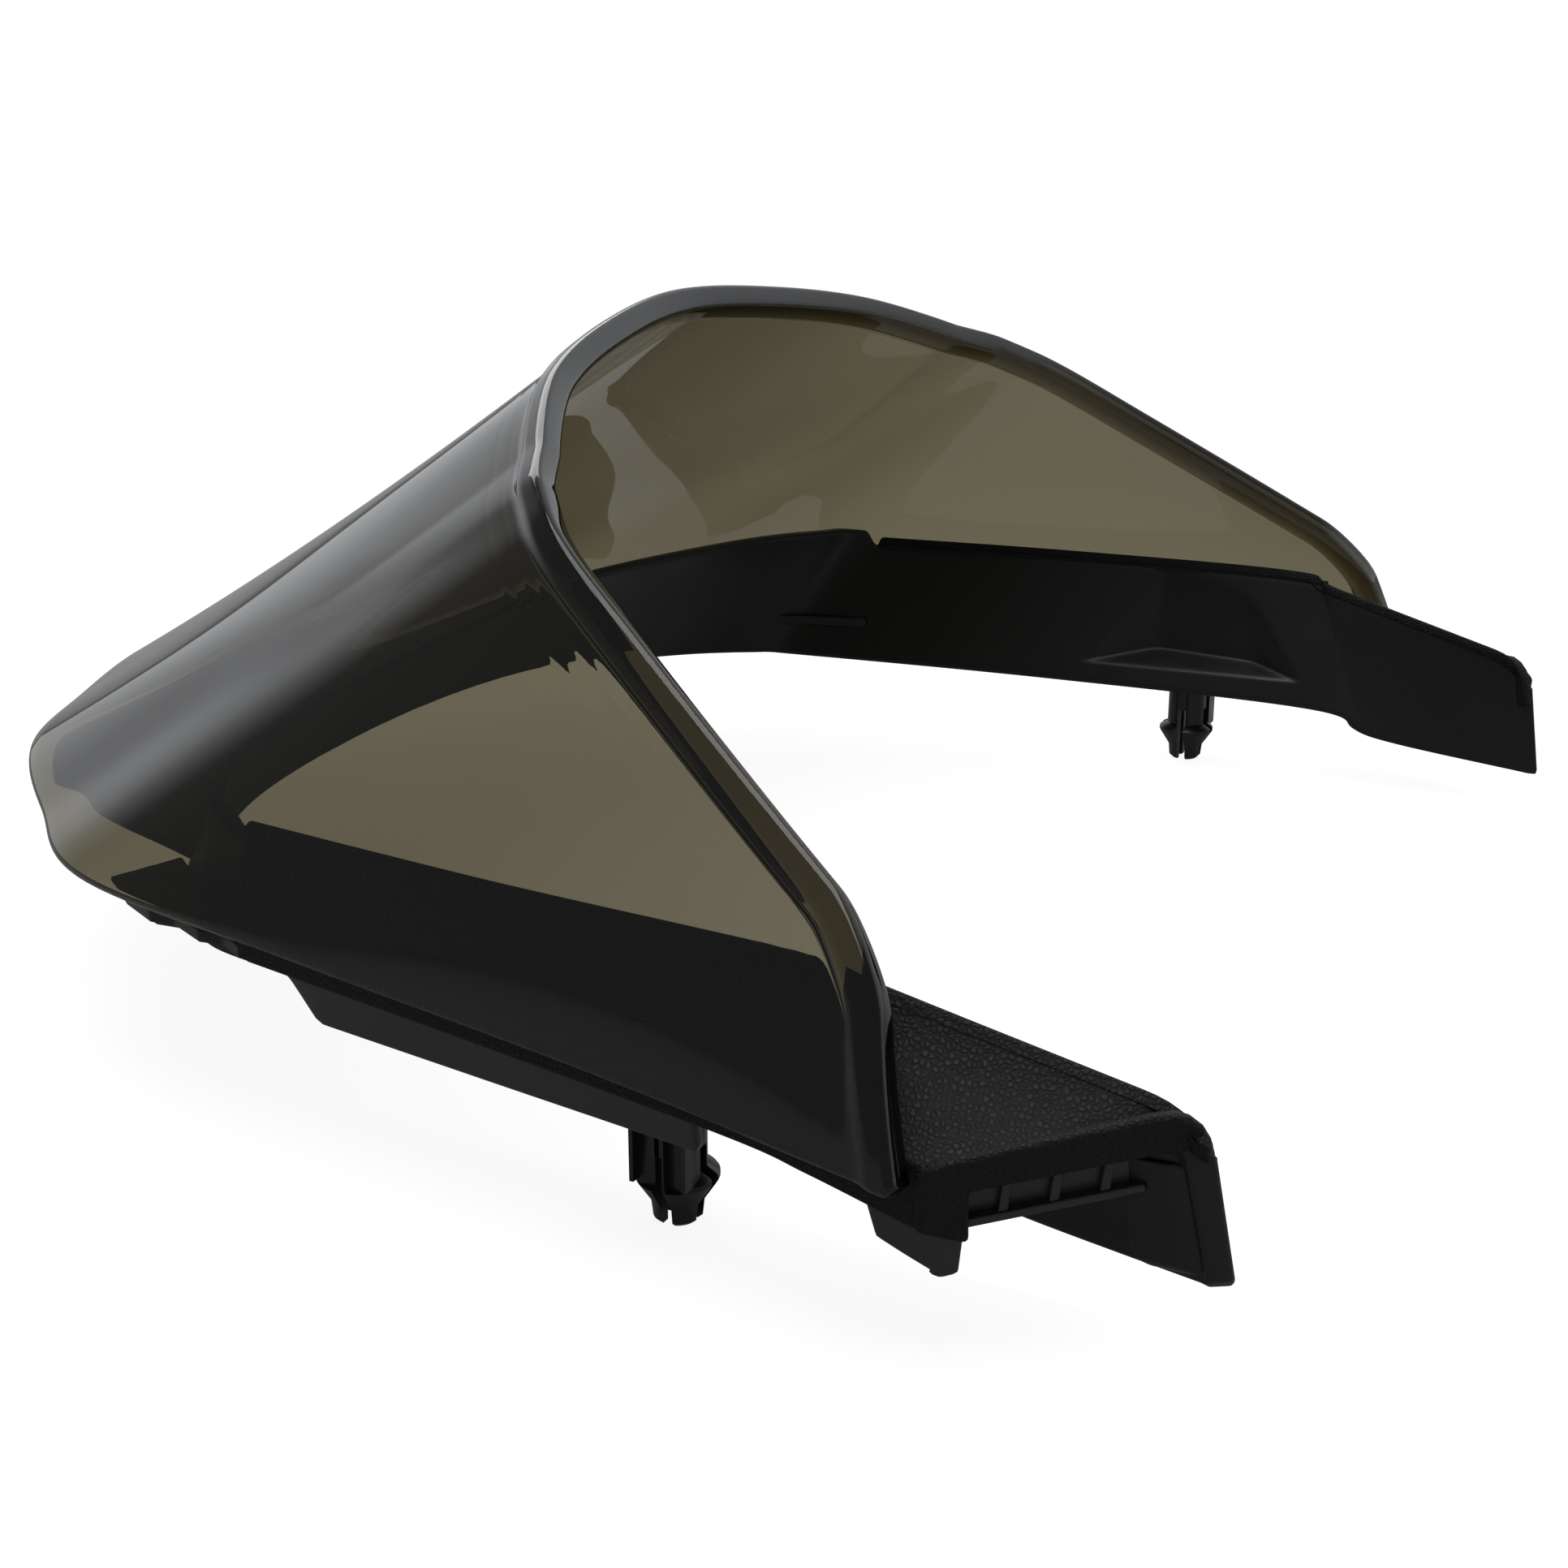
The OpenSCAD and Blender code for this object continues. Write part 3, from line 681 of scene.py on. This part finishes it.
def build_feet():
    """Outer legs, and the recessed beams with their lower ledges and ribs."""
    # The feet's lighter grey is painted light on the frame's black plastic.
    pair("foot_leg", outer_leg(), PAINTED_LIT_PLASTIC, "grey_skirt", "foot")
    parts = [("foot_beam", BEAM, -2.2, 1.6, 0.3),
             ("foot_beam_ledge", BEAM_LEDGE, -0.4, 3.2, 0.35)]
    for number, k in enumerate(RIB_PLACES):
        z = 18.8 + 0.16 * (k - BEAM[0][0])
        rib = [[k, z], [k + 1.5, z + 0.24], [k + 2.1, z + 6.4], [k + 0.8, z + 6.2]]
        parts.append((f"foot_rib_{number + 1}", rib, -0.9, 1.8, 0.25))
    for name, outline, out, thick, rounding in parts:
        mesh = plate_on_end(outline, out, thick)
        pair(name, mesh, PAINTED_LIT_PLASTIC, "grey_skirt", "foot", rounding, 2)


# ---------------------------------------------------------------- pins and screws

PIN_X, PIN_Y = 131.0, 55.0
# Radius and height: split tip, barb, shaft and the collar under the seat.
PIN_PROFILE = [(0, 0), (3.0, 0), (3.8, 0.7), (4.1, 3.4), (6.3, 6.8), (6.5, 7.2), (6.5, 7.9),
               (6.2, 8.3), (4.6, 9.2), (4.6, 18.8), (6.0, 18.9), (6.0, 20.0), (0, 20.0)]
BORE_PROFILE = [(0, -1), (1.7, -1), (1.7, 12), (0, 12)]
SLOT_HALF = 1.0             # half the width of the slots between the pin's legs


def revolved(profile, centre, steps=64):
    """Solid of revolution; the profile runs from the axis to the axis."""
    p = np.array(profile, float)
    angles = np.linspace(0, 2 * math.pi, steps, endpoint=False)
    rings = p[1:-1]
    verts = [(centre[0], centre[1], p[0, 1]), (centre[0], centre[1], p[-1, 1])]
    for r, z in rings:
        for a in angles:
            verts.append((centre[0] + r * math.cos(a), centre[1] + r * math.sin(a), z))
    ids = 2 + np.arange(len(rings) * steps).reshape(len(rings), steps)
    faces = []
    for k in range(len(rings) - 1):
        for i in range(steps):
            e = (i + 1) % steps
            faces.append([ids[k, i], ids[k, e], ids[k + 1, e], ids[k + 1, i]])
    for i in range(steps):
        e = (i + 1) % steps
        faces.append([0, ids[0, e], ids[0, i]])
        faces.append([1, ids[-1, i], ids[-1, e]])
    return np.array(verts), faces


def box_mesh(low, high):
    (x0, y0, z0), (x1, y1, z1) = low, high
    verts = [(x, y, z) for x in (x0, x1) for y in (y0, y1) for z in (z0, z1)]
    faces = [[0, 1, 3, 2], [4, 6, 7, 5], [0, 4, 5, 1], [2, 3, 7, 6], [0, 2, 6, 4], [1, 5, 7, 3]]
    return np.array(verts, float), faces


def pin_block(name, low, high):
    """Box beside the pin, from offsets in X and Y from its axis and heights."""
    offset = np.array([PIN_X, PIN_Y, 0])
    return plain_object(name, *box_mesh(offset + low, offset + high))


def carve(obj, tools, operation):
    """Applies boolean steps with the tools and removes them."""
    for tool in tools:
        mod = obj.modifiers.new("carve", "BOOLEAN")
        mod.operation = operation
        mod.object = tool
        mod.solver = "EXACT"
    bpy.context.view_layer.update()
    graph = bpy.context.evaluated_depsgraph_get()
    mesh = bpy.data.meshes.new_from_object(obj.evaluated_get(graph))
    obj.modifiers.clear()
    obj.data = mesh
    for tool in tools:
        bpy.data.objects.remove(tool)
    return obj


def build_pin():
    """One split snap pin: barbed head, shaft and the channels on its outer side."""
    body = plain_object("pin_work", *revolved(PIN_PROFILE, (PIN_X, PIN_Y)))
    ribs = [pin_block("rib", (2.0, y, 8.0), (6.6, y + 4.4, 19.6)) for y in (-4.6, 0.6)]
    body = carve(body, ribs, "UNION")
    cuts = [plain_object("bore", *revolved(BORE_PROFILE, (PIN_X, PIN_Y), 24))]
    for dx, dy in ((10, SLOT_HALF), (SLOT_HALF, 10)):
        cuts.append(pin_block("slot", (-dx, -dy, -1), (dx, dy, 13)))
    for y in (-3.9, 1.3):
        cuts.append(pin_block("channel", (5.0, y, 7.0), (8.0, y + 3.0, 21)))
    for y in (-1.6, 1.0):
        cuts.append(pin_block("flute", (-7.5, y, 9.8), (-4.0, y + 0.6, 18.6)))
    return carve(body, cuts, "DIFFERENCE")


def build_pins():
    work = build_pin()
    verts = np.array([v.co for v in work.data.vertices]) / MM
    faces = [list(p.vertices) for p in work.data.polygons]
    bpy.data.objects.remove(work)
    for side, points in (("left", verts), ("right", mirrored(verts))):
        obj = piece(f"fixing_pin_{side}", points, faces, PIN_PLASTIC, "pin_plastic",
                    f"snap_pin_{side}")
        obj.data.set_sharp_from_angle(angle=math.radians(34))
        soften(obj, 0.18, 2, 34)


SCREW_PLACE = (135.0, 76.0)
# Radius and height: head with its recess, then the shank and its tip.
SCREW_PROFILE = [(0, 26.0), (1.2, 26.0), (1.3, 26.7), (2.6, 25.9), (3.6, 26.4), (4.0, 27.1),
                 (4.0, 28.2), (1.95, 28.2), (1.95, 33.8), (1.2, 34.4), (0, 34.4)]
TAB_PROFILE = [(0, 28.2), (4.0, 28.2), (4.0, 30.4), (0, 30.4)]


def build_screws():
    """Screws that hold the screen, each with the screen's tab that it goes through."""
    verts, faces = revolved(SCREW_PROFILE, SCREW_PLACE, 40)
    tab, tab_faces = revolved(TAB_PROFILE, SCREW_PLACE, 40)
    for side, turn in (("left", np.asarray), ("right", mirrored)):
        obj = piece(f"screen_screw_{side}", turn(verts), faces, SCREW, "screw_steel",
                    "screen_screws")
        obj.data.set_sharp_from_angle(angle=math.radians(40))
        boss = piece(f"screen_tab_{side}", turn(tab), tab_faces, PIN_PLASTIC, "pin_plastic",
                     "screen")
        soften(boss, 0.4, 2)


# ---------------------------------------------------------------- studio

CAMERA_PLACE = Vector((0.400, 0.2062, 0.1696))
CAMERA_LOOK = Vector((-0.85192, -0.42204, -0.31001))
CAMERA_LENS = 52.17


def build_camera():
    data = bpy.data.cameras.new("camera")
    data.sensor_width = 36
    data.lens = CAMERA_LENS
    data.clip_start = 0.01
    cam = bpy.data.objects.new("camera", data)
    cam.location = CAMERA_PLACE
    cam.rotation_mode = "QUATERNION"
    cam.rotation_quaternion = CAMERA_LOOK.to_track_quat("-Z", "Y")
    bpy.context.scene.collection.objects.link(cam)
    bpy.context.scene.camera = cam


FLOOR_SIZE = 4.0


def seen_directly(tree):
    """1 for what the camera sees, also through the screen; 0 for reflections and light."""
    path = add_node(tree, "ShaderNodeLightPath")
    seen = add_node(tree, "ShaderNodeMath", operation="MAXIMUM")
    tree.links.new(path.outputs["Is Camera Ray"], seen.inputs[0])
    tree.links.new(path.outputs["Is Transmission Ray"], seen.inputs[1])
    return seen.outputs["Value"]


def build_floor():
    """Pale floor that looks white and shows only a faint shadow."""
    low = min(cad_box[0].z, 0.0)
    corners = ((-1, -1), (1, -1), (1, 1), (-1, 1))
    verts = [(x * FLOOR_SIZE, y * FLOOR_SIZE, low) for x, y in corners]
    mesh = bpy.data.meshes.new("floor")
    mesh.from_pydata(verts, [], [(0, 1, 2, 3)])
    mat, tree, shader = material("pale_floor", (0.25, 0.25, 0.25), 0.9,
                                 Specular_IOR_Level=0.1, Emission_Color=(1, 1, 1, 1))
    glow = remap(tree, seen_directly(tree), 0, 1, 0.08, 0.9)
    tree.links.new(glow, shader.inputs["Emission Strength"])
    mesh.materials.append(mat)
    obj = bpy.data.objects.new("floor", mesh)
    bpy.context.scene.collection.objects.link(obj)


def build_world():
    """White studio whose reflections are bright on the far side and dark on the near side."""
    world = bpy.data.worlds.new("studio")
    world.use_nodes = True
    bpy.context.scene.world = world
    tree = world.node_tree
    tree.nodes.clear()
    out = tree.nodes.new("ShaderNodeOutputWorld")
    direction = add_node(tree, "ShaderNodeTexCoord").outputs["Generated"]
    facing = add_node(tree, "ShaderNodeVectorMath", operation="DOT_PRODUCT")
    facing.inputs[1].default_value = (1.0, 0.0, 0.6)
    tree.links.new(direction, facing.inputs[0])
    dim = remap(tree, facing.outputs["Value"], -0.2, 0.25, 0.72, 0.19)
    dark = add_node(tree, "ShaderNodeBackground", {"Color": (0.95, 0.97, 1.0, 1)})
    tree.links.new(dim, dark.inputs["Strength"])
    white = add_node(tree, "ShaderNodeBackground", {"Color": (1, 1, 1, 1), "Strength": 1.0})
    mix = add_node(tree, "ShaderNodeMixShader")
    tree.links.new(seen_directly(tree), mix.inputs["Fac"])
    tree.links.new(dark.outputs["Background"], mix.inputs[1])
    tree.links.new(white.outputs["Background"], mix.inputs[2])
    tree.links.new(mix.outputs["Shader"], out.inputs["Surface"])


def softbox(name, where, size, power):
    """Rectangular light that faces the object's middle."""
    data = bpy.data.lights.new(name, "AREA")
    data.shape = "RECTANGLE"
    data.size, data.size_y = size
    data.energy = power
    lamp = bpy.data.objects.new(name, data)
    lamp.location = where
    lamp.rotation_mode = "QUATERNION"
    lamp.rotation_quaternion = (Vector((0, 0, 0.05)) - Vector(where)).to_track_quat("-Z", "Y")
    bpy.context.scene.collection.objects.link(lamp)


def build_lights():
    softbox("back_softbox", (-0.9, -0.9, 1.1), (1.2, 0.8), 7)
    softbox("top_softbox", (0.1, 0.0, 1.3), (1.0, 1.0), 8)


# ---------------------------------------------------------------- assembly

SMOKED = smoked_material()
GRAINED = grained_material()
FRAME_PLASTIC = moulded_material("matte_black_plastic", (0.008, 0.008, 0.009), 0.42, 0.25, 0.45)
# Painted light: a lighter copy of the frame's black plastic. Its grey is painted where the
# outward faces of the skirts and feet catch the light.
PAINTED_LIT_PLASTIC = moulded_material("satin_plastic_painted_lit", (0.033, 0.033, 0.035), 0.36, 0.18)
PIN_PLASTIC = moulded_material("black_nylon", (0.014, 0.014, 0.015), 0.3, 0.12)
SCREW = screw_material()

build_screen()
build_frame()
build_nose_panel()
build_frame_details()
build_covers()
build_skirt()
build_feet()
build_pins()
build_screws()

bpy.context.scene.view_settings.view_transform = "Standard"
build_camera()
build_floor()
build_world()
build_lights()
